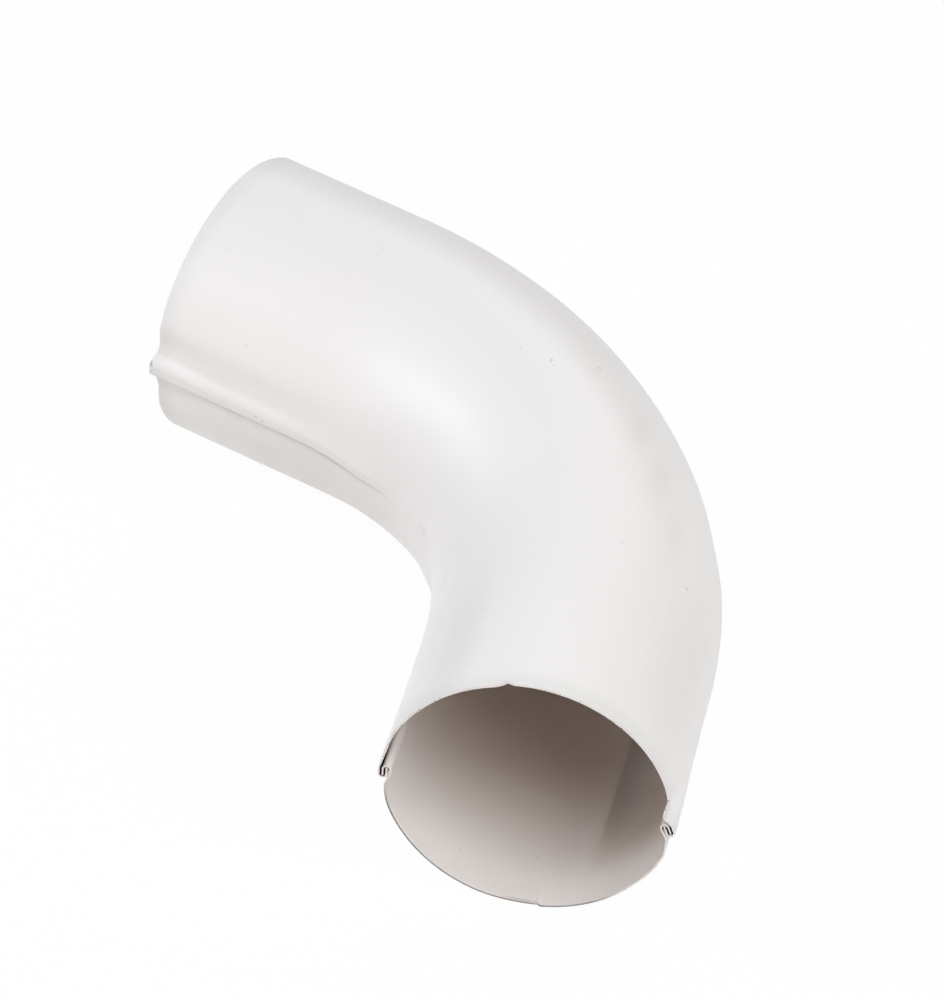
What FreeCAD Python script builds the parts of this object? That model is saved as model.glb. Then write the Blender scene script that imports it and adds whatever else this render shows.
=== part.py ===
import FreeCAD, Part
import math
import os

# Round downspout elbow pressed from coated steel sheet, in millimetres, lying on its side.
# It is two half shells, split near the plane of the bend, and a folded lock seam joins them
# along the inside of the bend and along its outside.
# Origin: centre of the front mouth. The front leg runs along +Y, the bend turns towards -X
# and +Z is up, square to the plane of the bend.

# Duct
duct_diameter = 90.0
sheet = 0.6
bend_angle = 69.0
bend_radius = 139.0
front_leg = 58.0
back_leg = 54.0

# Lock seam: four layers of sheet with air between them
layer_gap = 0.6
lock_depth = 2.0
edge_gap = 0.3
lead_in = 0.7
inner_offset = 1.0
inner_ramp_angle = 15.0
outer_ramp_angle = 30.0

# The wall beside a seam is pressed in from the round, and the seams lie off the bend plane
draw_in = 1.4
outside_seam_height = -3.3
inside_seam_height = 0.5

# The folds and the pressed shoulders are made of narrow flats that keep this near to an arc
flatness = 0.1

# Sizes that follow from those above
duct_radius = duct_diameter / 2
wall_radius = duct_radius - sheet / 2
layer_pitch = sheet + layer_gap
outer_offset = 3 * layer_pitch - inner_offset
outer_ramp = outer_offset / math.tan(math.radians(outer_ramp_angle))
inner_ramp = inner_offset / math.tan(math.radians(inner_ramp_angle))
fold_height = lock_depth / 2
leg_run = lock_depth + layer_pitch - sheet / 2 - edge_gap
flat_x = wall_radius - draw_in
flat_z = fold_height + lead_in + outer_ramp
hook_x = flat_x + outer_offset - layer_pitch
return_x = hook_x - layer_pitch
shoulder_turn = 2 * math.degrees(math.atan(draw_in / flat_z))
shoulder_radius = wall_radius - flat_z / math.sin(math.radians(shoulder_turn))


# The sheet's mid-line is walked as a list of moves. A straight run may step aside to the left
# as a ramp, and an arc turns to the left. A pose on the way is (x, z, heading).


def run(length, aside=0.0):
    return ("run", length, aside)


def flats(radius, turn):
    return ("flats", radius, turn)


def arc(radius, turn):
    return ("arc", radius, turn)


def after_run(pose, length, aside):
    x, z, heading = pose
    h = math.radians(heading)
    across = length * math.cos(h) - aside * math.sin(h)
    up = length * math.sin(h) + aside * math.cos(h)
    return x + across, z + up, heading


def after_arc(pose, radius, turn):
    x, z, heading = pose
    signed = math.copysign(radius, turn)
    before, after = math.radians(heading), math.radians(heading + turn)
    across = signed * (math.sin(after) - math.sin(before))
    up = signed * (math.cos(before) - math.cos(after))
    return x + across, z + up, heading + turn


def stretches(pose, moves):
    """The mid-line cut into stretches, as (pose, middle of an arc or None, end pose)."""
    found = []
    for kind, size, change in moves:
        count = 1
        if kind == "flats":
            widest = 2 * math.degrees(math.acos(1 - flatness / size))
            count = math.ceil(abs(change) / widest)
        for _ in range(count):
            middle = after_arc(pose, size, change / 2) if kind == "arc" else None
            if kind == "run":
                end = after_run(pose, size, change)
            else:
                end = after_arc(pose, size, change / count)
            found.append((pose, middle, end))
            pose = end
    return found


def surface_point(pose, offset):
    """The point of the section beside the mid-line, offset to its left."""
    x, z, heading = pose
    h = math.radians(heading)
    return FreeCAD.Vector(x - offset * math.sin(h), 0, z + offset * math.cos(h))


def sheet_section(start, moves):
    """Face of the folded sheet's cut section, which follows the moves from the start pose."""
    walked = stretches(start, moves)
    sides = []
    for offset in (sheet / 2, -sheet / 2):
        edges = []
        for pose, middle, end in walked:
            first, last = surface_point(pose, offset), surface_point(end, offset)
            if middle is None:
                edges.append(Part.LineSegment(first, last).toShape())
            else:
                edges.append(Part.Arc(first, surface_point(middle, offset), last).toShape())
        sides.append(edges)
    caps = []
    for pose in (walked[-1][2], start):
        cap = Part.LineSegment(surface_point(pose, sheet / 2), surface_point(pose, -sheet / 2))
        caps.append(cap.toShape())
    return Part.Face(Part.Wire(sides[0] + [caps[0]] + sides[1][::-1] + [caps[1]]))


def seam_tilt(height):
    """Angle about the duct's axis that brings a seam to its height off the bend plane."""
    return math.degrees(height / duct_radius)


def start_pose(x, z, heading):
    """A pose beside the outside seam, turned about the duct's axis with that seam."""
    tilt = math.radians(seam_tilt(outside_seam_height))
    across = x * math.cos(tilt) - z * math.sin(tilt)
    up = x * math.sin(tilt) + z * math.cos(tilt)
    return across, up, heading + seam_tilt(outside_seam_height)


def at_inside_seam(moves):
    """The moves of an outside seam as they come at the inside one: mirrored, last one first."""
    return [(kind, size, -change if kind == "run" else change) for kind, size, change in moves[::-1]]


def upper_section():
    """Section of the upper shell, from the outside seam over the top to the inside seam."""
    seam = [
        run(leg_run),
        flats(layer_pitch, 180.0),
        run(lock_depth + lead_in),
        run(outer_ramp, outer_offset),
        flats(shoulder_radius, shoulder_turn),
    ]
    tilts = seam_tilt(outside_seam_height) + seam_tilt(inside_seam_height)
    crown = [arc(wall_radius, 180.0 - 2 * shoulder_turn - tilts)]
    start = start_pose(return_x, leg_run - fold_height, -90.0)
    return sheet_section(start, seam + crown + at_inside_seam(seam))


def lower_section():
    """Section of the lower shell, from the outside seam underneath to the inside seam."""
    seam = [
        run(leg_run),
        flats(layer_pitch, 180.0),
        run(flat_z + fold_height - inner_ramp),
        run(inner_ramp, inner_offset),
        flats(shoulder_radius, -shoulder_turn),
    ]
    tilts = seam_tilt(outside_seam_height) + seam_tilt(inside_seam_height)
    belly = [arc(wall_radius, -(180.0 - 2 * shoulder_turn + tilts))]
    start = start_pose(hook_x, fold_height - leg_run, 90.0)
    return sheet_section(start, seam + belly + at_inside_seam(seam))


def half_shell(mouth):
    """The section drawn out along the front leg, round the bend and along the back leg."""
    up = FreeCAD.Vector(0, 0, 1)
    centre = FreeCAD.Vector(-bend_radius, front_leg, 0)
    turned = math.radians(bend_angle)
    back_along = FreeCAD.Vector(-math.sin(turned), math.cos(turned), 0)
    bend_start = mouth.translated(FreeCAD.Vector(0, front_leg, 0))
    bend_end = bend_start.rotated(centre, up, bend_angle)
    front = mouth.extrude(FreeCAD.Vector(0, front_leg, 0))
    bend = bend_start.revolve(centre, up, bend_angle)
    back = bend_end.extrude(back_along * back_leg)
    return front.fuse([bend, back]).removeSplitter()


os.makedirs("parts", exist_ok=True)
pieces = {
    "upper_half_shell": half_shell(upper_section()),
    "lower_half_shell": half_shell(lower_section()),
}
for name, shape in pieces.items():
    shape.exportStep(f"parts/{name}.step")
    print(name, "solids", len(shape.Solids), "valid", shape.isValid(), "volume", round(shape.Volume, 1))
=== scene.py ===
# %% [markdown]
# # A round downspout elbow in white coated steel
# The real elbow is two half shells, pressed from thin coated sheet and locked along both seams.
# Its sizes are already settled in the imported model, so this script only dresses that model: it
# loads the frame, models the two sheets again with round folds and a worn rim, and gives them
# their finish.

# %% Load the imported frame
import bmesh
import bpy
import math
from mathutils import Matrix, Vector


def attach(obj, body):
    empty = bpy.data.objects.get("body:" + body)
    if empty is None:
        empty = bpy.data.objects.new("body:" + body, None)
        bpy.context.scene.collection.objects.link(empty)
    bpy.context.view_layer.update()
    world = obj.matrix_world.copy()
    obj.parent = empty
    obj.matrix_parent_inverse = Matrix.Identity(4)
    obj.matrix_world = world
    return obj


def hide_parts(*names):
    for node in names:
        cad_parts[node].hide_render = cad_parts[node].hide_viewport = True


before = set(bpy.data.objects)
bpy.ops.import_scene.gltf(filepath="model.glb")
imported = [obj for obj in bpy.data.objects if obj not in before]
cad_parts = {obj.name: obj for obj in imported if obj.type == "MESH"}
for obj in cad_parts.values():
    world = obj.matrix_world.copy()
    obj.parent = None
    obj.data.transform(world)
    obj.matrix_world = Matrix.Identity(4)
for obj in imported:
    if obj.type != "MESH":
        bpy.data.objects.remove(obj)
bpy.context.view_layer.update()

print("nodes in the frame:", sorted(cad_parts))

# %% [markdown]
# ## The camera
# The photograph was taken from far off with a long lens, from well above the elbow and to the right
# of its front mouth. A long lens keeps both mouths nearly the same size. The camera is placed by
# where it stands and what it looks at, and then rolled a little, as a camera on a tripod often is.

# %% Place the camera
camera_data = bpy.data.cameras.new("elbow_camera")
camera_data.lens = 544.9
camera_data.sensor_width = 36.0
camera_data.clip_end = 30.0
elbow_camera = bpy.data.objects.new("elbow_camera", camera_data)
bpy.context.scene.collection.objects.link(elbow_camera)

stand = Vector((0.63949, -3.31939, 3.11058))
looks_at = Vector((-0.045042, 0.128514, 0.0))
roll = math.radians(1.7285)
turned = (looks_at - stand).to_track_quat("-Z", "Y").to_matrix().to_4x4()
elbow_camera.matrix_world = Matrix.Translation(stand) @ turned @ Matrix.Rotation(roll, 4, "Z")
bpy.context.scene.camera = elbow_camera
print("camera stands", round((looks_at - stand).length, 2), "m away")

# %% [markdown]
# ## The sizes of the duct and its seam
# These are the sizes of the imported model, in metres. The seam is a grooved lock: each sheet ends in
# a hook, the hooks hold each other, and the wall beside them steps in so that the lock stands only
# a little proud. Every layer keeps one sheet of air to the next.

# %% State the sizes
MM = 0.001
duct_radius = 45.0 * MM
sheet = 0.6 * MM
bend_angle = math.radians(69.0)
bend_radius = 139.0 * MM
front_leg = 58.0 * MM
back_leg = 54.0 * MM
duct_length = front_leg + bend_radius * bend_angle + back_leg

layer_gap = 0.6 * MM
lock_depth = 2.0 * MM
edge_gap = 0.3 * MM
inner_offset = 1.0 * MM
draw_in = 1.4 * MM
outside_seam_height = -3.3 * MM
inside_seam_height = 0.5 * MM

wall_radius = duct_radius - sheet / 2
layer_pitch = sheet + layer_gap
outer_offset = 3 * layer_pitch - inner_offset
fold_height = lock_depth / 2
leg_run = lock_depth + layer_pitch - sheet / 2 - edge_gap
outside_tilt = outside_seam_height / duct_radius
inside_tilt = inside_seam_height / duct_radius
print("duct is", round(duct_length / MM, 1), "mm long along its axis")

# %% Place the four layers of the seam
# From the outside in: the upper sheet's lip, the lower hook, the upper hook's end, the lower wall
lip_x = wall_radius - draw_in + outer_offset
hook_x = lip_x - layer_pitch
return_x = hook_x - layer_pitch
inner_x = return_x - layer_pitch

# The upper wall leans in from the lip on a small knee until it meets the round
knee_radius = 3.0 * MM
knee_x = lip_x - knee_radius
lean = math.atan2(fold_height, knee_x)
lean += math.acos((wall_radius - knee_radius) / math.hypot(knee_x, fold_height))
slant = knee_x * math.sin(lean) - fold_height * math.cos(lean)

# The lower wall steps out from the innermost layer and then turns on to the round
ramp_length = 6.0 * MM
lower_draw_in = 0.9 * MM
ramp_aside = wall_radius - lower_draw_in - inner_x
lower_turn = 2 * math.atan(lower_draw_in / ramp_length)
lower_shoulder = wall_radius - ramp_length / math.sin(lower_turn)
print("lip at", round(lip_x / MM, 2), "mm, wall leans", round(math.degrees(lean), 1), "degrees")

# %% [markdown]
# ## Drawing the sheet's middle line with a walk
# A folded sheet is easiest to draw the way a folding machine makes it: go straight, turn, go
# straight again. Here one vertex walks across the mouth. A straight stretch is extrude_vert_indiv
# and a move, and a bend is a spin of that one vertex, so the line has as many points in each bend
# as asked. A whole section drawn by formula would do, but then each fold needs its own algebra.

# %% Walk straight, round a bend and aside
ACROSS = Vector((0.0, -1.0, 0.0))


class SheetWalk:
    """A vertex that draws the sheet's middle line in the plane of the front mouth."""

    def __init__(self, x, z, heading, tilt):
        self.mesh = bmesh.new()
        start = Matrix.Rotation(tilt, 4, ACROSS) @ Vector((x, 0.0, z))
        self.tip = self.mesh.verts.new(start)
        self.heading = heading + tilt

    def ahead(self):
        return Vector((math.cos(self.heading), 0.0, math.sin(self.heading)))

    def left(self):
        return Vector((-math.sin(self.heading), 0.0, math.cos(self.heading)))

    def run(self, length, parts=1):
        for _ in range(parts):
            grown = bmesh.ops.extrude_vert_indiv(self.mesh, verts=[self.tip])
            self.tip = grown["verts"][0]
            bmesh.ops.translate(self.mesh, verts=[self.tip], vec=self.ahead() * length / parts)

    def turn(self, radius, angle, parts):
        centre = self.tip.co + self.left() * math.copysign(radius, angle)
        spun = bmesh.ops.spin(
            self.mesh, geom=[self.tip], cent=centre, axis=ACROSS, angle=angle, steps=parts
        )
        self.tip = [g for g in spun["geom_last"] if isinstance(g, bmesh.types.BMVert)][0]
        self.heading += angle

    def sway(self, length, aside, parts):
        """Two equal bends that shift the sheet aside and leave its heading as it was."""
        angle = 2 * math.atan(aside / length)
        radius = length / (2 * math.sin(abs(angle)))
        self.turn(radius, angle, parts)
        self.turn(radius, -angle, parts)


print("the walk starts at x", round(return_x / MM, 1), "or", round(hook_x / MM, 1), "mm")

# %% [markdown]
# ## The two sections
# Both sheets are walked from the seam on the outside of the bend to the seam on its inside. The
# upper sheet goes over the top and holds the lower one in its outer hooks. The round part is walked
# in pieces, because the rim has small kinks near its top and bottom that need closer points.

# %% Walk the upper sheet and the lower sheet
fold_parts = 12
leg_parts, wall_parts, knee_parts, slant_parts = 3, 3, 6, 12
ramp_parts, shoulder_parts = 8, 12
coarse = math.radians(1.6)
fine = math.radians(0.5)
top_kink = (math.radians(93.0), math.radians(109.0))
bottom_kink = (math.radians(-100.0), math.radians(-77.0))


def round_wall(walk, start, end, kink):
    """The round wall from one angle about the axis to another, finer where the rim is kinked."""
    low, high = sorted(kink) if end > start else sorted(kink, reverse=True)
    for a, b, step in ((start, low, coarse), (low, high, fine), (high, end, coarse)):
        walk.turn(wall_radius, b - a, math.ceil(abs(b - a) / step))


def hook_to_wall(walk, upper, leaving):
    """The moves of one seam, hook first on the way out and hook last on the way in."""
    moves = [
        (walk.run, (leg_run, leg_parts)),
        (walk.turn, (layer_pitch, math.pi, fold_parts)),
    ]
    if upper:
        moves += [
            (walk.run, (lock_depth, wall_parts)),
            (walk.turn, (knee_radius, lean, knee_parts)),
            (walk.run, (slant, slant_parts)),
        ]
    else:
        aside = ramp_aside if leaving else -ramp_aside
        moves += [
            (walk.run, (lock_depth / 2, wall_parts)),
            (walk.sway, (ramp_length, aside, ramp_parts)),
            (walk.turn, (lower_shoulder, -lower_turn, shoulder_parts)),
        ]
    for move, values in moves if leaving else moves[::-1]:
        move(*values)


def upper_walk():
    walk = SheetWalk(return_x, leg_run - fold_height, -math.pi / 2, outside_tilt)
    hook_to_wall(walk, upper=True, leaving=True)
    round_wall(walk, outside_tilt + lean, math.pi - inside_tilt - lean, top_kink)
    hook_to_wall(walk, upper=True, leaving=False)
    return walk


def lower_walk():
    walk = SheetWalk(hook_x, fold_height - leg_run, math.pi / 2, outside_tilt)
    hook_to_wall(walk, upper=False, leaving=True)
    start, end = outside_tilt - lower_turn, -math.pi - inside_tilt + lower_turn
    round_wall(walk, start, end, bottom_kink)
    hook_to_wall(walk, upper=False, leaving=False)
    return walk


print("each fold is walked in", fold_parts, "parts")

# %% [markdown]
# ## From a section to a bent shell
# Each section is now carried along the duct by spin. Spin with no angle and a step vector draws
# the straight legs, and spin about the centre of the bend draws the rest. The rows are close
# together near both mouths, where the rim will be reshaped, and wider along the plain wall. Before
# that, each point keeps how deep it lies in the lock, so that the finish can paint shade there.

# %% Mark the depth in the lock for painted shade
def rise(value, start, end):
    """Zero up to the start and one from the end on, with a soft start and a soft end."""
    share = min(max((value - start) / (end - start), 0.0), 1.0)
    return share * share * (3 - 2 * share)


def shade_folds(mesh, upper):
    """Marks how deep inside the lock each point of a section lies, on its face and on its back, as
    the strength of the painted shade there.
    """
    face = mesh.verts.layers.float.new("painted_shade_face")
    back = mesh.verts.layers.float.new("painted_shade_back")
    mesh.verts.index_update()
    fold_end = leg_parts + fold_parts
    wall_end = fold_end + wall_parts
    for vertex in mesh.verts:
        step = min(vertex.index, len(mesh.verts) - 1 - vertex.index)
        open_side = rise(step, leg_parts + fold_parts / 3, leg_parts)
        if upper:
            vertex[face] = open_side
            vertex[back] = rise(step, wall_end + 2 * ramp_parts, wall_end)
        else:
            vertex[face] = rise(step, wall_end + 2, fold_end)
            vertex[back] = open_side


print("a soft step reaches", rise(0.25, 0.0, 1.0), "after a quarter of its way")

# %% Carry a section along the duct
near_rows = ((6, 0.4 * MM), (6, 0.8 * MM), (6, 1.6 * MM))
near_length = sum(count * step for count, step in near_rows)
plain_rows = 14
bend_rows = 76


def carried(mesh, edge, steps, step_vector=(0.0, 0.0, 0.0), angle=0.0):
    """Spins an edge on about the centre of the bend, or straight on where there is no angle."""
    centre = (-bend_radius, front_leg, 0.0)
    up = (0.0, 0.0, 1.0)
    spun = bmesh.ops.spin(
        mesh, geom=edge, cent=centre, axis=up, dvec=step_vector, angle=angle, steps=steps
    )
    return spun["geom_last"]


def sweep_sheet(walk, upper):
    mesh = walk.mesh
    shade_folds(mesh, upper)
    edge = mesh.verts[:] + mesh.edges[:]
    forward = Vector((0.0, 1.0, 0.0))
    for count, step in near_rows:
        edge = carried(mesh, edge, count, forward * step)
    edge = carried(mesh, edge, plain_rows, forward * (front_leg - near_length) / plain_rows)
    edge = carried(mesh, edge, bend_rows, angle=bend_angle)
    forward = Matrix.Rotation(bend_angle, 3, "Z") @ forward
    edge = carried(mesh, edge, plain_rows, forward * (back_leg - near_length) / plain_rows)
    for count, step in near_rows[::-1]:
        edge = carried(mesh, edge, count, forward * step)
    top = max(mesh.faces, key=lambda face: abs(face.calc_center_median().z))
    if top.normal.z * top.calc_center_median().z < 0:
        bmesh.ops.reverse_faces(mesh, faces=mesh.faces)
    print("swept", len(mesh.faces), "faces")
    return mesh


mouth_rows = sum(count for count, _ in near_rows)
print("rows along the duct:", 2 * (mouth_rows + plain_rows) + bend_rows)

# %% [markdown]
# ## Where the pressed elbow leaves the true round
# A press doesn't give a perfect bend. The outside is a little flatter where the bend starts, the
# front leg is drawn in a little on its inside, and the back leg is a touch square. Each of these is
# one small, smooth shift of vertices by their place in the duct, which needs no more faces. A
# lattice could do it too, but its cage is harder to aim.

# %% Find a vertex's place in the duct and ease the round
def duct_place(point):
    """Distance along the duct, distance outwards from its axis, and those two directions."""
    x, y = point.x + bend_radius, point.y - front_leg
    turn = min(max(math.atan2(y, x), 0.0), bend_angle)
    outward = Vector((math.cos(turn), math.sin(turn), 0.0))
    forward = Vector((-outward.y, outward.x, 0.0))
    flat = Vector((x, y, 0.0))
    along = front_leg + turn * bend_radius + flat.dot(forward)
    return along, flat.dot(outward) - bend_radius, outward, forward


def bump(place, centre, reach):
    """One at the centre and zero a reach away, all in millimetres along the duct."""
    return rise(abs(place - centre), reach, 0.0)


# Each shift: its amount, the place where it is strongest, and how far it reaches
outer_flattening = ((1.5, 68.0, 65.0), (1.0, 145.0, 60.0))
inner_flattening = ((0.55, 44.0, 42.0),)
squareness = 0.5


def ease_round(mesh):
    for vertex in mesh.verts:
        along, radial, outward, _ = duct_place(vertex.co)
        place = along / MM
        side = radial / duct_radius
        away = outward * radial + Vector((0.0, 0.0, vertex.co.z))
        corner = (2 * radial * vertex.co.z / away.length_squared) ** 2
        square = squareness * rise(place, 195.0, 225.0) * corner
        shifts = outer_flattening if side > 0 else inner_flattening
        flatter = sum(amount * bump(place, *where) for amount, *where in shifts)
        vertex.co += away.normalized() * square * MM
        vertex.co -= outward * flatter * side * abs(side) * MM


bend_ends_at = (duct_length - back_leg) / MM
print("the bend runs from place", front_leg / MM, "to", round(bend_ends_at, 1))

# %% [markdown]
# ## The seam on the inside of the bend
# On the legs this seam stands free as a rib. In the bend the press squashed it flat and sank the
# wall around it, so that there it hardly shows. The layers are brought together by their distance
# from the duct's axis, which is called depth here. Heights over the seam and places along the duct
# are in millimetres.

# %% Squash the lock and fill the step below it
lock_squash = 0.33
lip_spread = 0.9
step_filling = 0.95
rib_groove = 0.5 * MM
seam_sink = 1.9 * MM
wall_hollow = 0.95 * MM


def squashed_depth(depth, height, place, at_round, upper):
    """The depth of a point at the seam once the press has closed up the layers."""
    in_bend = rise(place, 50.0, 85.0) * rise(place, 190.0, 158.0)
    if upper and height < -1.0 and depth > hook_x:
        depth += (lip_x - depth) * lip_spread * in_bend
    in_lock = abs(height) < 1.2 or (not upper and abs(height) < 2.2)
    if not upper:
        filled = step_filling * rise(place, 6.0, 26.0) * (1 - 0.45 * rise(place, 165.0, 225.0))
        filled *= rise(height, 0.5 * in_bend - 2.4, 1.3 * in_bend - 4.0)
        filled *= rise(height, -11.0, -6.0)
        depth += (at_round - depth) * filled
    if in_lock or (upper and height < 0):
        depth -= (depth - inner_x) * lock_squash * in_bend
    elif upper:
        depth -= max(depth - at_round, 0.0) * in_bend
        groove = rise(height, 2.5, 5.5) * rise(height, 15.0, 8.0) * rise(place, 205.0, 235.0)
        depth -= rib_groove * groove
    return depth


def sunk_by(height, place, upper):
    """How far the press sank the wall around the seam, and the wall below it, in the bend."""
    sunk = seam_sink * rise(place, 80.0, 120.0) * rise(place, 190.0, 158.0)
    sunk *= rise(abs(height), 22.0, 2.0)
    if not upper:
        hollow = rise(abs(height), 6.0, 16.0) * rise(abs(height), 32.0, 20.0)
        sunk += wall_hollow * hollow * bump(place, 162.0, 42.0)
    return sunk


print("the press sinks the seam by", round(sunk_by(0.0, 140.0, upper=True) / MM, 2), "mm")

# %% Press the inside of the bend
seam_side = 30.0 * MM


def press_inside(mesh, upper):
    shade = mesh.verts.layers.float["painted_shade_face"]
    for vertex in mesh.verts:
        along, radial, outward, _ = duct_place(vertex.co)
        if -radial < seam_side:
            continue
        height = (vertex.co.z - inside_seam_height) / MM
        place = along / MM
        at_round = math.sqrt(wall_radius**2 - vertex.co.z**2)
        depth = squashed_depth(-radial, height, place, at_round, upper)
        depth -= sunk_by(height, place, upper)
        # The closed lock gets almost no painted shade, and where the wall touches the rib just before
        # the bend ends it gets a painted contact shadow
        vertex[shade] *= 1 - 0.9 * rise(place, 40.0, 70.0) * rise(place, 180.0, 160.0)
        if not upper:
            contact_shadow = 0.45 * bump(place, 204.0, 30.0) * rise(height, -5.0, -2.6)
            vertex[shade] = max(vertex[shade], contact_shadow)
        vertex.co -= outward * (depth + radial)


print("inner layer of the seam lies at", round(inner_x / MM, 2), "mm")

# %% [markdown]
# ## Mouths that were cut and squeezed by hand
# The front mouth isn't a clean circle. Its upper left is squeezed in, with a step where that starts
# at the top and a sharper one at the bottom. Its right seam leans and hangs a little low, and the
# wall sinks in above it and bulges below it. At the back mouth the rim is cut back beside the
# inside seam, so that the seam stands out as a tip. Moving the last rows of vertices gives all
# that. A displacement map would need far more faces for the same.

# %% Squeeze the front mouth
squeeze_depth = 0.8 * MM
groove_depth = 0.8 * MM
bulge_height = 0.8 * MM
pinch_depth = 0.5 * MM
seam_drop = 1.1 * MM
seam_lean = math.radians(-22.0)
front_reach = 40.0
beyond_front_leg = -70.0 * MM


def squeezed_share(angle):
    """How much of the squeeze is felt at an angle about the duct's axis, in degrees."""
    beside_seam = rise(angle, 160.0, 135.0)
    underneath = 0.35 * rise(angle, 195.0, 215.0) + 0.5 * rise(angle, 250.0, 270.0)
    return rise(angle, 99.0, 105.0) * rise(angle, 277.2, 276.0) * (beside_seam + underneath)


def shape_beside_seam(vertex, outward, angle, back, upper):
    """The wall beside the right seam: a groove above it, a bulge below it and a pinch between."""
    height = (vertex.co.z - outside_seam_height) / MM
    if upper:
        groove = rise(height, 1.2, 4.2) * rise(height, 13.0, 4.0)
        vertex.co -= outward * groove_depth * groove * rise(back, 30.0, 0.0)
    else:
        bulge = rise(height, -2.6, -6.1) * rise(abs(angle + 19.0), 28.0, 0.0)
        vertex.co += outward * bulge_height * bulge * rise(back, 22.0, 0.0)
        pinch = rise(height, -1.5, -4.0) * rise(height, -12.0, -6.0)
        vertex.co -= outward * pinch_depth * pinch * rise(back, 7.0, 0.0)
    vertex.co.z -= seam_drop * rise(abs(height), 15.0, 5.0) * rise(back, front_reach, 0.0)
    from_seam = Vector((vertex.co.x - hook_x, 0.0, height * MM))
    reach = (11.0 if height > 0 else 7.0) * MM
    leaning = rise(from_seam.length, reach, 0.3 * reach) * rise(back, 30.0, 0.0)
    lean_turn = Matrix.Rotation(seam_lean * leaning, 3, "Y")
    vertex.co += lean_turn @ from_seam - from_seam


def shape_front_mouth(mesh, upper):
    for vertex in mesh.verts:
        back = vertex.co.y / MM
        if back > front_reach or vertex.co.x < beyond_front_leg:
            continue
        angle = math.degrees(math.atan2(vertex.co.z, vertex.co.x))
        outward = Vector((vertex.co.x, 0.0, vertex.co.z)).normalized()
        squeeze = squeeze_depth * rise(back, 9.0, 0.0) * squeezed_share(angle % 360.0)
        vertex.co -= outward * squeeze
        if vertex.co.x >= 0:
            shape_beside_seam(vertex, outward, angle, back, upper)


print("share of the squeeze at 120 degrees:", round(squeezed_share(120.0), 2))

# %% Cut back the rim at the back mouth and raise a burr
rim_cut = 1.3 * MM
rim_dip = 1.2 * MM
back_reach = 28.0
outer_side = 10.0 * MM


def shape_back_mouth(mesh):
    for vertex in mesh.verts:
        along, radial, outward, forward = duct_place(vertex.co)
        from_back = (duct_length - along) / MM
        if from_back > back_reach or radial > outer_side:
            continue
        height = abs(vertex.co.z - inside_seam_height) / MM
        inner = rise(radial / duct_radius, 0.3, -0.7)
        cut = inner * rise(height, 2.0, 8.0) * rise(from_back, 20.0, 0.0)
        vertex.co -= forward * rim_cut * cut
        dip = rise(height, 2.5, 5.5) * rise(height, 17.0, 8.0) * rise(from_back, back_reach, 0.0)
        vertex.co += outward * rim_dip * dip


def raise_burr(mesh, at, reach, by):
    """Pulls the vertices around a point into a small peak."""
    moved = 0
    for vertex in mesh.verts:
        share = 1 - (vertex.co - at).length / reach
        if share > 0:
            vertex.co += by * share
            moved += 1
    return moved


def mark_depth(mesh):
    """Keeps how far each vertex lies from the nearer mouth, for the finishes."""
    depth = mesh.verts.layers.float.new("from_mouth")
    for vertex in mesh.verts:
        along = duct_place(vertex.co)[0]
        vertex[depth] = min(along, duct_length - along)


print("the rim is cut back by", rim_cut / MM, "mm beside the inside seam")

# %% [markdown]
# ## The sheet's thickness
# So far each sheet is a surface without thickness. A Solidify modifier gives it the real 0.6 mm,
# half to each side, and sorts its faces into three: the coated face, the coated back and the cut
# edge. Offsetting the walk twice would do the same but has to be closed by hand. A fine bevel then
# breaks the edge of the cut, as on any sheared sheet, and gives it a line of light.

# %% Make both sheets as objects
edge_wear = 0.08 * MM


def sheet_object(name, mesh):
    data = bpy.data.meshes.new(name)
    mesh.to_mesh(data)
    mesh.free()
    data.polygons.foreach_set("use_smooth", [True] * len(data.polygons))
    piece = bpy.data.objects.new(name, data)
    bpy.context.scene.collection.objects.link(piece)
    wall = piece.modifiers.new("wall", "SOLIDIFY")
    wall.thickness = sheet
    wall.offset = 0.0
    wall.use_even_offset = True
    wall.material_offset = 1
    wall.material_offset_rim = 2
    edges = piece.modifiers.new("edges", "BEVEL")
    edges.limit_method = "ANGLE"
    edges.angle_limit = math.radians(50.0)
    edges.width = edge_wear
    edges.segments = 2
    edges.harden_normals = True
    return piece


upper_mesh = sweep_sheet(upper_walk(), upper=True)
lower_mesh = sweep_sheet(lower_walk(), upper=False)
for mesh in (upper_mesh, lower_mesh):
    ease_round(mesh)
    press_inside(mesh, upper=mesh is upper_mesh)
    shape_front_mouth(mesh, upper=mesh is upper_mesh)
    shape_back_mouth(mesh)
    mark_depth(mesh)
top_burr, burr_reach = Vector((-6.6, 0.0, 44.2)) * MM, 1.8 * MM
burr_peak = Vector((0.0, -0.2, 1.1)) * MM
print("burr moves", raise_burr(upper_mesh, top_burr, burr_reach, burr_peak), "vertices")
upper_sheet = sheet_object("upper_sheet", upper_mesh)
lower_sheet = sheet_object("lower_sheet", lower_mesh)
for piece, node, slot in (
    (upper_sheet, "upper_half_shell", "coated_steel_upper"),
    (lower_sheet, "lower_half_shell", "coated_steel_lower"),
):
    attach(piece, "root")
    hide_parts(node)
print("sheets:", upper_sheet.name, lower_sheet.name)

# %% [markdown]
# ## Shared effects for the finishes
# Coil-coated steel isn't one flat white. Its tone drifts a little from place to place, the coat
# has a fine orange peel, and handling leaves specks. Each effect is a node group, so that the
# outer coat, the backing coat and the cut edge can use it with their own values.

# %% Tone drift of the coat
def new_effect(name, inputs, outputs):
    group = bpy.data.node_groups.new(name, "ShaderNodeTree")
    for title, kind, value in inputs:
        socket = group.interface.new_socket(title, in_out="INPUT", socket_type=kind)
        if value is not None:
            socket.default_value = value
    for title, kind in outputs:
        group.interface.new_socket(title, in_out="OUTPUT", socket_type=kind)
    return group, group.nodes.new("NodeGroupInput"), group.nodes.new("NodeGroupOutput")


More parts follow.
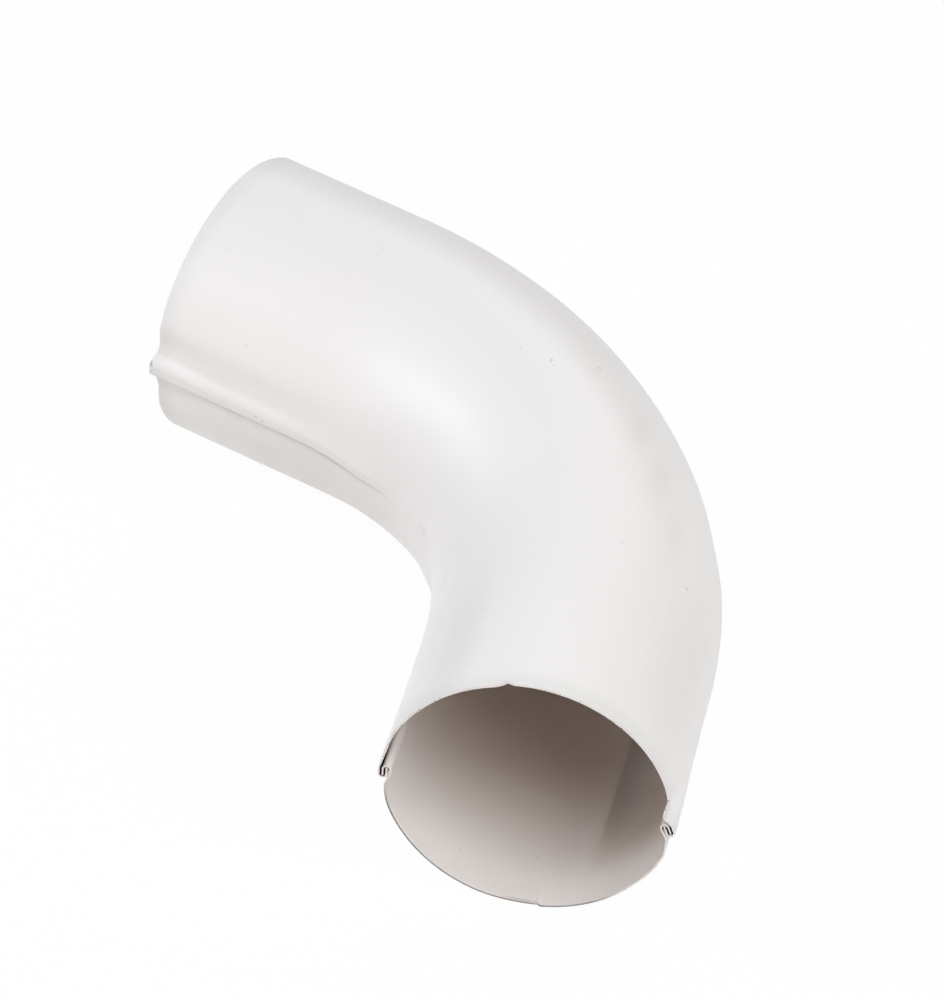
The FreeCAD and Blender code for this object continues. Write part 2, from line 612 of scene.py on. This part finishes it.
def node(tree, kind, **values):
    made = tree.nodes.new(kind)
    for key, value in values.items():
        setattr(made, key, value)
    return made


def opaque(red, green, blue):
    return (red, green, blue, 1.0)


FLOAT, VECTOR, COLOUR = "NodeSocketFloat", "NodeSocketVector", "NodeSocketColor"
drift, into, out = new_effect(
    "coat tone drift",
    (("Colour", COLOUR, opaque(0.8, 0.8, 0.8)), ("Drift Colour", COLOUR, opaque(0.7, 0.7, 0.7)),
     ("Scale", FLOAT, 18.0), ("Amount", FLOAT, 0.2)),
    (("Colour", COLOUR),),
)
place = node(drift, "ShaderNodeTexCoord")
clouds = node(drift, "ShaderNodeTexNoise")
clouds.inputs["Detail"].default_value = 2.0
share = node(drift, "ShaderNodeMath", operation="MULTIPLY")
blend = node(drift, "ShaderNodeMix", data_type="RGBA")
drift.links.new(place.outputs["Object"], clouds.inputs["Vector"])
drift.links.new(into.outputs["Scale"], clouds.inputs["Scale"])
drift.links.new(clouds.outputs["Fac"], share.inputs[0])
drift.links.new(into.outputs["Amount"], share.inputs[1])
drift.links.new(share.outputs[0], blend.inputs["Factor"])
drift.links.new(into.outputs["Colour"], blend.inputs["A"])
drift.links.new(into.outputs["Drift Colour"], blend.inputs["B"])
drift.links.new(blend.outputs["Result"], out.inputs["Colour"])
print("effect:", drift.name)

# %% Orange peel of the coat
peel, into, out = new_effect(
    "orange peel",
    (("Scale", FLOAT, 700.0), ("Strength", FLOAT, 0.05), ("Depth", FLOAT, 0.0001)),
    (("Normal", VECTOR),),
)
place = node(peel, "ShaderNodeTexCoord")
grain = node(peel, "ShaderNodeTexNoise")
grain.inputs["Detail"].default_value = 1.5
relief = node(peel, "ShaderNodeBump")
peel.links.new(place.outputs["Object"], grain.inputs["Vector"])
peel.links.new(into.outputs["Scale"], grain.inputs["Scale"])
peel.links.new(grain.outputs["Fac"], relief.inputs["Height"])
peel.links.new(into.outputs["Strength"], relief.inputs["Strength"])
peel.links.new(into.outputs["Depth"], relief.inputs["Distance"])
peel.links.new(relief.outputs["Normal"], out.inputs["Normal"])
print("effect:", peel.name)

# %% Specks of dust and small chips
specks, into, out = new_effect(
    "specks",
    (("Scale", FLOAT, 60.0), ("Size", FLOAT, 0.03), ("Share", FLOAT, 0.3)),
    (("Mask", FLOAT),),
)
place = node(specks, "ShaderNodeTexCoord")
cells = node(specks, "ShaderNodeTexVoronoi")
dot = node(specks, "ShaderNodeMath", operation="LESS_THAN")
lot = node(specks, "ShaderNodeSeparateColor")
chosen = node(specks, "ShaderNodeMath", operation="LESS_THAN")
both = node(specks, "ShaderNodeMath", operation="MULTIPLY")
specks.links.new(place.outputs["Object"], cells.inputs["Vector"])
specks.links.new(into.outputs["Scale"], cells.inputs["Scale"])
specks.links.new(cells.outputs["Distance"], dot.inputs[0])
specks.links.new(into.outputs["Size"], dot.inputs[1])
specks.links.new(cells.outputs["Color"], lot.inputs[0])
specks.links.new(lot.outputs[0], chosen.inputs[0])
specks.links.new(into.outputs["Share"], chosen.inputs[1])
specks.links.new(dot.outputs[0], both.inputs[0])
specks.links.new(chosen.outputs[0], both.inputs[1])
specks.links.new(both.outputs[0], out.inputs["Mask"])
print("effect:", specks.name)

# %% [markdown]
# ## Single marks of handling and painted shade
# A chip, scratch or rust spot has its own place, so noise can't give it. A mark is a soft ball
# around a point: the distance from the point, divided by the mark's half sizes, fades the mask out,
# and a little noise makes its edge ragged. Painting such marks on an image would need a UV map.
# The same kind of mark also lays some painted shade and painted reflection.

# %% A single mark, for handling and for painted shade
mark, into, out = new_effect(
    "mark of handling and painted shade",
    (("Place", VECTOR, None), ("Size", VECTOR, None), ("Strength", FLOAT, 0.5)),
    (("Mask", FLOAT),),
)
place = node(mark, "ShaderNodeTexCoord")
grain = node(mark, "ShaderNodeTexNoise")
grain.inputs["Scale"].default_value = 900.0
aside = node(mark, "ShaderNodeVectorMath", operation="SUBTRACT")
shrunk = node(mark, "ShaderNodeVectorMath", operation="DIVIDE")
far = node(mark, "ShaderNodeVectorMath", operation="LENGTH")
ragged = node(mark, "ShaderNodeMath", operation="ADD")
inside = node(mark, "ShaderNodeMapRange", interpolation_type="SMOOTHSTEP")
inside.inputs["From Min"].default_value = 1.6
inside.inputs["From Max"].default_value = 0.7
strong = node(mark, "ShaderNodeMath", operation="MULTIPLY")
mark.links.new(place.outputs["Object"], grain.inputs["Vector"])
mark.links.new(place.outputs["Object"], aside.inputs[0])
mark.links.new(into.outputs["Place"], aside.inputs[1])
mark.links.new(aside.outputs[0], shrunk.inputs[0])
mark.links.new(into.outputs["Size"], shrunk.inputs[1])
mark.links.new(shrunk.outputs[0], far.inputs[0])
mark.links.new(far.outputs["Value"], ragged.inputs[0])
mark.links.new(grain.outputs["Fac"], ragged.inputs[1])
mark.links.new(ragged.outputs[0], inside.inputs["Value"])
mark.links.new(inside.outputs["Result"], strong.inputs[0])
mark.links.new(into.outputs["Strength"], strong.inputs[1])
mark.links.new(strong.outputs[0], out.inputs["Mask"])
print("effect:", mark.name)

# %% [markdown]
# ## The white outer coat
# The coat is a smooth polyester paint: white with a touch of warmth, and half glossy, so that a
# window or lamp shows as a soft band along the duct. Handling left a few scratches, chips and rust
# spots, each one placed by its own mark. Other marks are painted shade and painted reflection of
# the dark room, and painted shade makes the coat a little greyer towards the rims.

# %% Start a finish and place the effects in it
def new_finish(name, roughness, metallic=0.0):
    finish = bpy.data.materials.new(name)
    finish.use_nodes = True
    surface = finish.node_tree.nodes["Principled BSDF"]
    surface.inputs["Roughness"].default_value = roughness
    surface.inputs["Metallic"].default_value = metallic
    return finish, finish.node_tree, surface


def effect(tree, group, **values):
    made = node(tree, "ShaderNodeGroup", node_tree=group)
    for key, value in values.items():
        made.inputs[key.replace("_", " ")].default_value = value
    return made


def drifting(tree, colour, drift_colour, scale, amount):
    """A colour whose tone drifts towards a second one from place to place."""
    made = effect(
        tree, drift, Colour=colour, Drift_Colour=drift_colour, Scale=scale, Amount=amount
    )
    return made.outputs["Colour"]


def ramp(tree, value, start, end):
    """Zero up to the start and one from the end on, smooth in between."""
    made = node(tree, "ShaderNodeMapRange", interpolation_type="SMOOTHSTEP")
    made.inputs["From Min"].default_value = start
    made.inputs["From Max"].default_value = end
    tree.links.new(value, made.inputs["Value"])
    return made.outputs["Result"]


def product(tree, *values):
    result = values[0]
    for value in values[1:]:
        made = node(tree, "ShaderNodeMath", operation="MULTIPLY")
        tree.links.new(result, made.inputs[0])
        tree.links.new(value, made.inputs[1])
        result = made.outputs[0]
    return result


print("effects to place:", [group.name for group in bpy.data.node_groups])

# %% Paint over a finish
# Painted shade, nearly black, for the gaps in the lock
LOCK_SHADE = opaque(0.03, 0.027, 0.025)


def mixed(tree, mask, under, over):
    """One colour where the mask is zero and the other where it is one."""
    made = node(tree, "ShaderNodeMix", data_type="RGBA")
    tree.links.new(mask, made.inputs["Factor"])
    tree.links.new(under, made.inputs["A"])
    tree.links.new(over, made.inputs["B"])
    return made.outputs["Result"]


def painted(tree, colour, mask, paint, title=""):
    """The colour, with the paint over it where the mask is one."""
    made = node(tree, "ShaderNodeMix", data_type="RGBA", label=title)
    made.inputs["B"].default_value = paint
    tree.links.new(mask, made.inputs["Factor"])
    tree.links.new(colour, made.inputs["A"])
    return made.outputs["Result"]


def marked(tree, colour, marks):
    """The colour with a list of marks on it, each with its own place, half sizes and paint."""
    for title, at, size, paint, strength in marks:
        place, reach = [v * MM for v in at], [v * MM for v in size]
        spot = effect(tree, mark, Place=place, Size=reach, Strength=strength)
        colour = painted(tree, colour, spot.outputs["Mask"], paint, title)
    return colour


def kept(tree, attribute):
    """A value that the sheet's vertices keep, such as their depth in the lock."""
    return node(tree, "ShaderNodeAttribute", attribute_name=attribute).outputs["Fac"]


def in_the_lock(tree, attribute, colour):
    """The same coat, with painted shade, nearly black, where the gaps of the lock lie in shade."""
    return painted(tree, colour, kept(tree, attribute), LOCK_SHADE)


def skinned(tree, surface, scale, strength):
    skin = effect(tree, peel, Scale=scale, Strength=strength)
    tree.links.new(skin.outputs["Normal"], surface.inputs["Normal"])


print("painted shade in the lock is", LOCK_SHADE[:3])

# %% Make the outer coat
# Where each mark lies and its half sizes, in millimetres, then its colour and how strong it is
GREY, DARK = opaque(0.5, 0.5, 0.49), opaque(0.12, 0.11, 0.1)
RUST, BLUSH_AND_REFLECTION = opaque(0.42, 0.29, 0.24), opaque(0.66, 0.54, 0.5)
outer_marks = (
    ("smudge in the bend", (-55.2, 105.0, 4.9), (6.0, 6.0, 2.4), GREY, 0.2),
    ("chip on the back leg", (-87.4, 187.6, 45.0), (1.3, 0.6, 2.0), GREY, 0.28),
    ("scratch", (-25.4, 148.6, 44.5), (0.45, 1.7, 1.5), DARK, 0.3),
    ("end of the scratch", (-24.0, 146.4, 44.6), (1.1, 0.45, 1.5), DARK, 0.22),
    ("rust spot", (-11.1, 154.2, 39.6), (0.9, 0.7, 1.5), RUST, 0.4),
    ("blush by the rust spot", (-12.0, 151.0, 41.0), (2.6, 2.2, 3.0), BLUSH_AND_REFLECTION, 0.2),
    ("fleck", (-35.5, 151.0, 45.0), (0.5, 0.4, 1.0), DARK, 0.3),
    ("fleck by the edge", (-44.0, 169.7, 44.3), (0.5, 0.5, 1.0), GREY, 0.45),
    ("second fleck by the edge", (-34.5, 170.2, 42.6), (0.5, 0.5, 1.0), GREY, 0.5),
    ("tick", (13.0, 73.1, 42.8), (0.9, 0.35, 1.0), DARK, 0.2),
    ("slash", (33.7, 73.2, 27.9), (0.6, 1.1, 1.0), RUST, 0.35),
    ("dot", (-124.2, 158.5, 21.5), (0.5, 0.5, 0.5), GREY, 0.35),
    ("dot near the rim", (-135.9, 181.8, 39.5), (0.5, 0.4, 0.5), GREY, 0.35),
    ("chip on the rib", (-119.0, 149.7, 0.7), (1.2, 1.0, 0.35), DARK, 0.25),
    ("second chip on the rib", (-116.5, 148.8, 0.3), (0.6, 1.0, 0.5), DARK, 0.25),
    ("third chip on the rib", (-110.9, 146.6, -0.4), (0.5, 1.0, 0.6), GREY, 0.4),
    # The next three are a painted reflection of the dark room along the outside of the bend
    ("painted dark reflection along the outside", (6.7, 130.4, 38.1), (6.0, 17.0, 6.0), BLUSH_AND_REFLECTION, 0.16),
    ("painted dark reflection further on", (16.9, 111.7, 36.6), (6.0, 17.0, 6.0), BLUSH_AND_REFLECTION, 0.16),
    ("painted dark reflection lower down", (27.0, 92.0, 33.0), (6.0, 18.0, 6.0), BLUSH_AND_REFLECTION, 0.14),
    # Painted shade as a dark streak where the bend meets the front leg
    ("painted shade streak by the bend", (-41.0, 69.0, 19.0), (1.6, 4.0, 3.5), GREY, 0.15),
    ("nicks at the tip of the seam", (-155.9, 164.3, 3.2), (0.9, 0.9, 2.6), DARK, 0.45),
    ("nick under the tip", (-156.1, 164.2, -0.3), (0.8, 0.8, 0.7), DARK, 0.5),
    # The last two are painted shade on the front leg
    ("painted shade patch on the front leg", (38.0, 38.0, 22.0), (16.0, 60.0, 20.0), GREY, 0.2),
    ("painted shade band on the front leg", (-27.0, 24.0, 36.0), (10.0, 40.0, 10.0), GREY, 0.17),
)
WHITE, OFF_WHITE = opaque(0.84, 0.83, 0.82), opaque(0.81, 0.785, 0.775)
RIM_SHADE = opaque(0.77, 0.76, 0.75)
outer_coat, tree, surface = new_finish("white_outer_coat", roughness=0.38)
colour = drifting(tree, WHITE, OFF_WHITE, scale=14.0, amount=0.5)
# Painted shade greys the coat within 9 mm of each rim
near_rim = ramp(tree, kept(tree, "from_mouth"), 9.0 * MM, 1.0 * MM)
colour = painted(tree, colour, near_rim, RIM_SHADE)
colour = marked(tree, colour, outer_marks)
# Painted shade nearly blackens the coat in the gaps of the lock
tree.links.new(in_the_lock(tree, "painted_shade_face", colour), surface.inputs["Base Color"])
skinned(tree, surface, scale=900.0, strength=0.04)
print("outer coat has", len(tree.nodes), "nodes")

# %% [markdown]
# ## The backing coat inside
# The back of coated coil gets a thinner coat than the face. Near the mouths it is a pale grey, and
# deeper in it is browner. It is glossy enough to mirror the bright mouth softly. A dark band along
# the lower right of the front leg is painted reflection, sharp on its left side only, and the side
# beside it is darkened with painted shade.

# %% Make the backing coat
def object_axes(tree):
    """The three object coordinates of a point: across the front mouth, into it, and up."""
    place = node(tree, "ShaderNodeTexCoord")
    split = node(tree, "ShaderNodeSeparateXYZ")
    tree.links.new(place.outputs["Object"], split.inputs[0])
    return split.outputs


DUST = opaque(0.2, 0.18, 0.17)
PALE_BACK, PALE_BACK_DRIFT = opaque(0.81, 0.79, 0.77), opaque(0.80, 0.745, 0.72)
BROWN_BACK, BROWN_BACK_DRIFT = opaque(0.80, 0.715, 0.66), opaque(0.75, 0.665, 0.61)
backing_coat, tree, surface = new_finish("backing_coat", roughness=0.33)
surface.inputs["Specular IOR Level"].default_value = 0.3
across, depth, up = object_axes(tree)
fresh = drifting(tree, PALE_BACK, PALE_BACK_DRIFT, scale=26.0, amount=0.9)
aged = drifting(tree, BROWN_BACK, BROWN_BACK_DRIFT, scale=20.0, amount=0.7)
deeper = ramp(tree, kept(tree, "from_mouth"), 4.0 * MM, 60.0 * MM)
colour = mixed(tree, deeper, fresh, aged)
dust = effect(tree, specks, Scale=70.0, Size=0.02, Share=0.25)
colour = painted(tree, colour, dust.outputs["Mask"], DUST)

# %% Lay the painted shade and painted reflection, and the marks inside
# The band is a painted reflection of the dark bend, and the side beside it gets painted shade
band = product(
    tree,
    ramp(tree, across, 17.2 * MM, 18.8 * MM),
    ramp(tree, across, 32.0 * MM, 21.0 * MM),
    ramp(tree, depth, 22.0 * MM, 45.0 * MM),
    ramp(tree, up, -15.0 * MM, -30.0 * MM),
)
beside = product(
    tree,
    ramp(tree, across, 14.0 * MM, 22.0 * MM),
    ramp(tree, depth, 8.0 * MM, 30.0 * MM),
)
colour = painted(tree, colour, beside, opaque(0.66, 0.585, 0.54), "painted shade on the right side")
colour = painted(tree, colour, band, opaque(0.47, 0.405, 0.37), "painted shade band")
inner_marks = (
    # The first mark is a painted shade line under the lip
    ("painted shade line under the lip", (-0.8, 0.6, -44.0), (8.0, 0.9, 2.0), DARK, 0.3),
    ("first speck", (18.2, 54.4, -40.4), (0.35, 0.5, 1.0), DARK, 0.4),
    ("second speck", (-22.2, 12.5, -38.5), (0.35, 0.45, 1.0), DARK, 0.3),
    ("third speck", (0.2, 21.4, -44.4), (0.35, 0.5, 1.0), DARK, 0.35),
    ("fourth speck", (-9.7, 3.6, -43.0), (0.35, 0.5, 1.0), DARK, 0.3),
)
colour = marked(tree, colour, inner_marks)
# Painted shade nearly blackens the backing coat in the gaps of the lock
tree.links.new(in_the_lock(tree, "painted_shade_back", colour), surface.inputs["Base Color"])
skinned(tree, surface, scale=1100.0, strength=0.05)
print("backing coat has", len(tree.nodes), "nodes")

# %% [markdown]
# ## The cut edge
# Where the shears cut the sheet, zinc and steel show between the two coats. On the upper half the
# coat was dragged over the cut, so it is pale there. Lower down it is bare and dull grey.

# %% Make the cut edge
DRAGGED, DRAGGED_DRIFT = opaque(0.95, 0.89, 0.87), opaque(0.52, 0.48, 0.46)
BARE, BARE_DRIFT = opaque(0.40, 0.38, 0.365), opaque(0.10, 0.09, 0.085)
cut_edge, tree, surface = new_finish("cut_edge", roughness=0.45)
across, _, up = object_axes(tree)
pale = drifting(tree, DRAGGED, DRAGGED_DRIFT, scale=420.0, amount=0.5)
dull = drifting(tree, BARE, BARE_DRIFT, scale=420.0, amount=0.9)
lower_left = product(
    tree,
    ramp(tree, up, 2.0 * MM, -12.0 * MM),
    ramp(tree, across, 33.0 * MM, 20.0 * MM),
)
colour = mixed(tree, lower_left, pale, dull)
nicks = effect(tree, specks, Scale=1300.0, Size=0.3, Share=0.3)
colour = painted(tree, colour, nicks.outputs["Mask"], DUST)
edge_marks = (
    ("shear step", (5.6, 0.0, -44.4), (1.2, 2.0, 1.2), DARK, 0.9),
    ("first nick", (-6.5, 0.0, -44.2), (1.0, 2.0, 1.0), DARK, 0.8),
    ("second nick", (-26.0, 0.0, -36.4), (0.8, 2.0, 0.8), DARK, 0.7),
)
tree.links.new(marked(tree, colour, edge_marks), surface.inputs["Base Color"])
skinned(tree, surface, scale=2500.0, strength=0.3)

for piece in (upper_sheet, lower_sheet):
    for finish in (outer_coat, backing_coat, cut_edge):
        piece.data.materials.append(finish)
print("finishes:", [m.name for m in upper_sheet.data.materials])

# %% [markdown]
# ## The table under the elbow
# The elbow lies on a white table that runs out of sight. The camera sees it almost pure white, as
# in a product photograph, but it still takes the soft shadow of the elbow.

# %% Lay the table
table_reach, under_elbow = 3.0, 0.2 * MM
table_mesh = bmesh.new()
bmesh.ops.create_grid(table_mesh, x_segments=1, y_segments=1, size=table_reach)
table_top = (0.0, 0.0, -duct_radius - under_elbow)
bmesh.ops.translate(table_mesh, verts=table_mesh.verts, vec=table_top)
table_data = bpy.data.meshes.new("table")
table_mesh.to_mesh(table_data)
table_mesh.free()
table = bpy.data.objects.new("table", table_data)
bpy.context.scene.collection.objects.link(table)


def seen_white(tree):
    """One for rays that show the background: straight, mirrored or through a clear piece."""
    rays = node(tree, "ShaderNodeLightPath")
    seen = rays.outputs["Is Camera Ray"]
    for title in ("Is Glossy Ray", "Is Transmission Ray"):
        either = node(tree, "ShaderNodeMath", operation="MAXIMUM")
        tree.links.new(seen, either.inputs[0])
        tree.links.new(rays.outputs[title], either.inputs[1])
        seen = either.outputs[0]
    return seen


white_share = 0.97
table_finish, tree, surface = new_finish("white_table", roughness=0.8)
surface.inputs["Base Color"].default_value = opaque(0.88, 0.855, 0.835)
glow = node(tree, "ShaderNodeEmission")
share = node(tree, "ShaderNodeMath", operation="MULTIPLY")
share.inputs[1].default_value = white_share
blend = node(tree, "ShaderNodeMixShader")
tree.links.new(seen_white(tree), share.inputs[0])
tree.links.new(share.outputs[0], blend.inputs[0])
tree.links.new(surface.outputs[0], blend.inputs[1])
tree.links.new(glow.outputs[0], blend.inputs[2])
tree.links.new(blend.outputs[0], tree.nodes["Material Output"].inputs["Surface"])
table_data.materials.append(table_finish)
print("table lies at", round(table_data.vertices[0].co.z / MM, 1), "mm")

# %% [markdown]
# ## The room and its lamps
# The photograph has the even light of a white studio. The biggest soft box hangs to the right of
# the camera and fills the front mouth, one high over the camera lights the tops, and one on the
# left leaves the soft highlight along the back leg and the bend. Two low ones reach the wall under
# the seam, and weak ones behind keep the far side from turning grey. The room itself gives hardly
# any light, which keeps the inside of the duct dark, and its background shows plain white.

# %% Paint the room
room = bpy.data.worlds.new("studio")
room.use_nodes = True
bpy.context.scene.world = room
tree = room.node_tree
sky = tree.nodes["Background"]
direction = node(tree, "ShaderNodeTexCoord")
height = node(tree, "ShaderNodeSeparateXYZ")
walls_to_ceiling = node(tree, "ShaderNodeValToRGB")
low, high = walls_to_ceiling.color_ramp.elements
low.position, low.color = 0.35, opaque(0.12, 0.115, 0.11)
high.position, high.color = 0.85, opaque(1.0, 1.0, 1.0)
tree.links.new(direction.outputs["Generated"], height.inputs[0])
tree.links.new(height.outputs["Z"], walls_to_ceiling.inputs["Fac"])
tree.links.new(walls_to_ceiling.outputs["Color"], sky.inputs["Color"])
sky.inputs["Strength"].default_value = 0.008
plain = node(tree, "ShaderNodeBackground")
plain.inputs["Color"].default_value = opaque(1.0, 1.0, 1.0)
seen = node(tree, "ShaderNodeMixShader")
tree.links.new(seen_white(tree), seen.inputs[0])
tree.links.new(sky.outputs[0], seen.inputs[1])
tree.links.new(plain.outputs[0], seen.inputs[2])
tree.links.new(seen.outputs[0], tree.nodes["World Output"].inputs["Surface"])
print("room gives light of strength", round(sky.inputs["Strength"].default_value, 3))

# %% Hang the soft boxes
lamp_distance = 2.0


def soft_box(name, azimuth, elevation, size, brightness, tint):
    """A lamp that faces the elbow. Azimuth is measured from +X towards +Y."""
    a, e = math.radians(azimuth), math.radians(elevation)
    away = Vector((math.cos(a) * math.cos(e), math.sin(a) * math.cos(e), math.sin(e)))
    lamp = bpy.data.lights.new(name, "AREA")
    lamp.shape = "RECTANGLE"
    lamp.size, lamp.size_y = size
    lamp.color = tint
    lamp.energy = brightness * math.pi * size[0] * size[1]
    hung = bpy.data.objects.new(name, lamp)
    bpy.context.scene.collection.objects.link(hung)
    facing = (-away).to_track_quat("-Z", "Y").to_matrix().to_4x4()
    hung.matrix_world = Matrix.Translation(looks_at + away * lamp_distance) @ facing
    print(name, "gives", round(lamp.energy, 1), "W")


PLAIN, COOL, WARM = (1.0, 1.0, 1.0), (0.94, 0.965, 1.0), (1.0, 0.95, 0.92)
for name, azimuth, elevation, size, brightness, tint in (
    ("right_box", -30, 38, (1.7, 0.8), 5.3, PLAIN),
    ("front_box", -80, 65, (1.0, 1.0), 4.55, PLAIN),
    ("side_box", 180, 30, (1.6, 0.75), 4.8, COOL),
    ("low_box", -145, 8, (1.6, 0.4), 1.9, WARM),
    ("low_front_box", -115, 6, (1.6, 0.35), 0.6, WARM),
    ("rear_box", 150, 41, (1.6, 0.7), 0.6, PLAIN),
    ("back_box", 80, 30, (1.5, 0.6), 2.3, PLAIN),
    ("high_back_box", 75, 58, (1.5, 0.7), 0.5, PLAIN),
):
    soft_box(name, azimuth, elevation, size, brightness, tint)

# %% [markdown]
# ## Colours as written
# The standard view transform shows a colour as it is written.

# %% Show colours as written
bpy.context.scene.view_settings.view_transform = "Standard"
